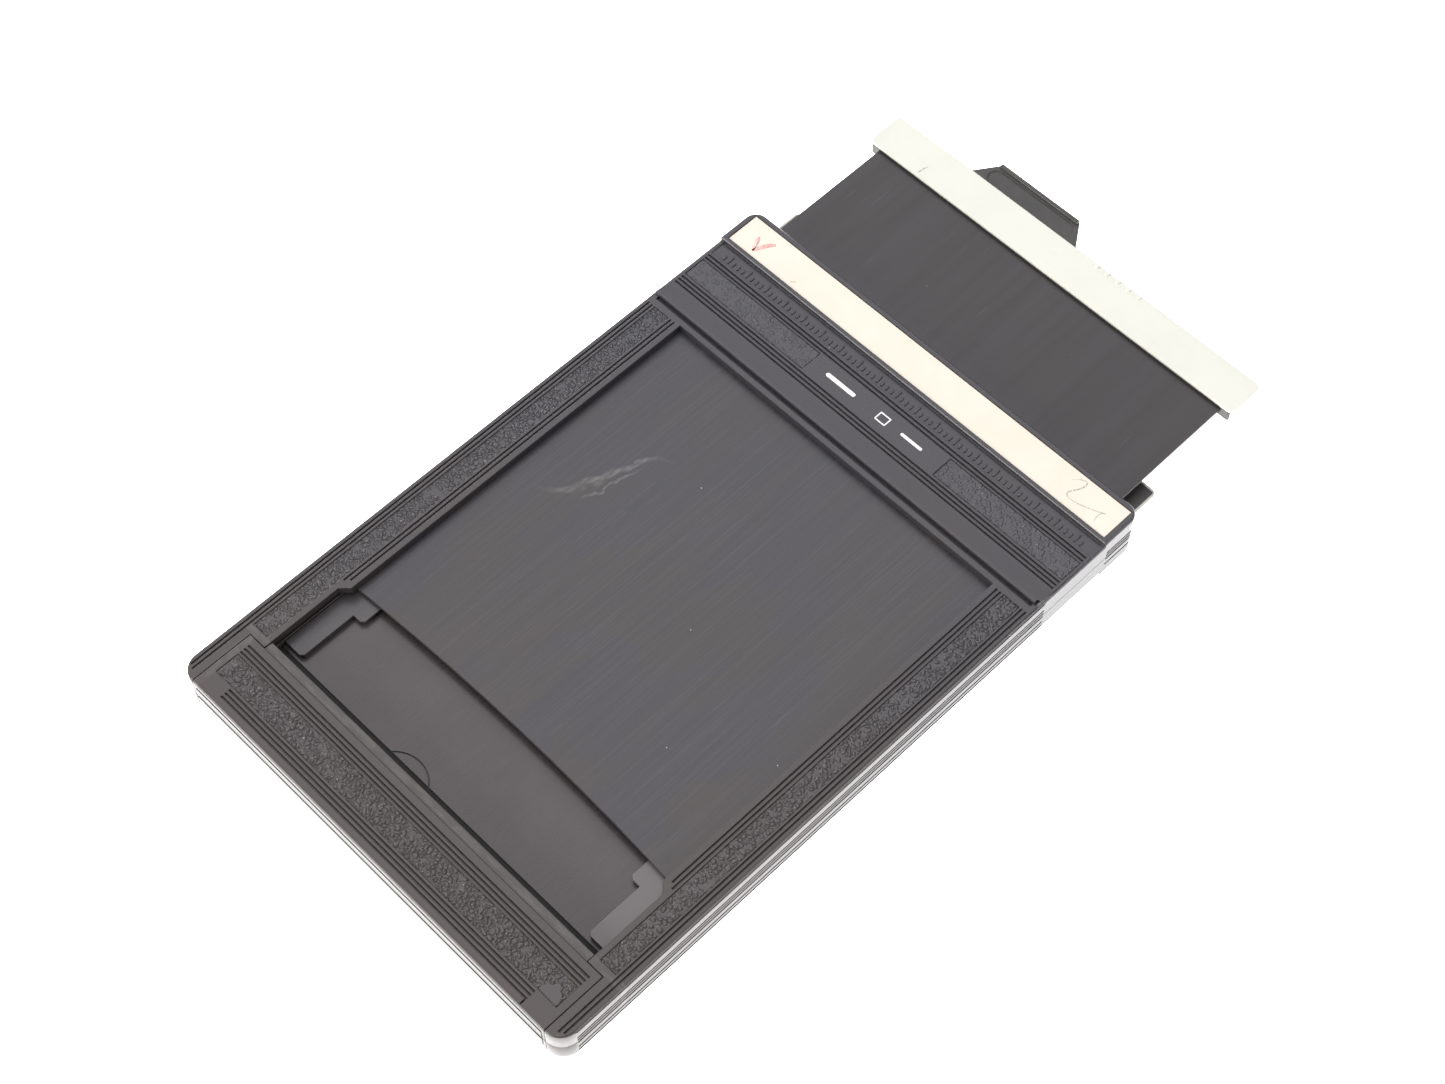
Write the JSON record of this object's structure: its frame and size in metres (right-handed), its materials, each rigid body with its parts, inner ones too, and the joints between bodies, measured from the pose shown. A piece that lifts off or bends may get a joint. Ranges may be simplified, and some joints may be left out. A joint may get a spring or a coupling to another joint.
{
  "type": "sheet film holder",
  "caption": "Flat double-sided sheet film holder with a rectangular film gate on each face, dark slides with bar handles and a hinged loading flap at the end.",
  "frame": {"origin": "centre of the film gate, on the mid-plane between the two films", "axes": "+X across the holder, +Y the way the dark slides are pulled, +Z out of the upper face"},
  "size_m": [0.12, 0.2285, 0.0132],
  "materials": {
    "body_plastic": "moulded, fine satin with worn edges",
    "guide_plastic": "satin",
    "slide_sheet": "fine lengthwise brushed",
    "septum_sheet": "matte, streaked",
    "hinge_cloth": "woven tape",
    "trap_felt": "felt pile",
    "spring_bronze": "rolled",
    "handle_black": "moulded, worn",
    "handle_white": "moulded",
    "label_card": "matte writing surface"
  },
  "bodies": {
    "holder_body": {"upper_frame": "body_plastic", "lower_frame": "body_plastic", "head_core": "body_plastic", "septum": "septum_sheet", "hinge_web": "hinge_cloth", "upper_left_film_guide": "guide_plastic", "upper_right_film_guide": "guide_plastic", "lower_left_film_guide": "guide_plastic", "lower_right_film_guide": "guide_plastic", "upper_slide_felt": "trap_felt", "lower_slide_felt": "trap_felt", "upper_felt_spring": "spring_bronze", "lower_felt_spring": "spring_bronze", "upper_velvet_strip": "trap_felt", "lower_velvet_strip": "trap_felt", "upper_writing_label": "label_card", "lower_writing_label": "label_card"},
    "upper_dark_slide": {"upper_slide_plate": "slide_sheet", "upper_slide_handle": "handle_black", "upper_handle_cap": "handle_white"},
    "lower_dark_slide": {"lower_slide_plate": "slide_sheet", "lower_slide_handle": "handle_black", "lower_handle_cap": "handle_white"},
    "upper_loading_flap": {"upper_flap": "body_plastic", "upper_hinge_tape": "hinge_cloth"},
    "lower_loading_flap": {"lower_flap": "body_plastic", "lower_hinge_tape": "hinge_cloth"}
  },
  "joints": [
    {"name": "upper_slide_pull", "type": "slide", "parent": "holder_body", "child": "upper_dark_slide", "axis": [0, 1, 0], "range_m": [-0.0352, 0.1368]},
    {"name": "lower_slide_pull", "type": "slide", "parent": "holder_body", "child": "lower_dark_slide", "axis": [0, 1, 0], "range_m": [0, 0.172]},
    {"name": "upper_flap_hinge", "type": "hinge", "parent": "holder_body", "child": "upper_loading_flap", "pos_m": [0, -0.0789, 0], "axis": [1, 0, 0], "range_deg": [0, 180]},
    {"name": "lower_flap_hinge", "type": "hinge", "parent": "holder_body", "child": "lower_loading_flap", "pos_m": [0, -0.0789, 0], "axis": [-1, 0, 0], "range_deg": [0, 180]}
  ]
}
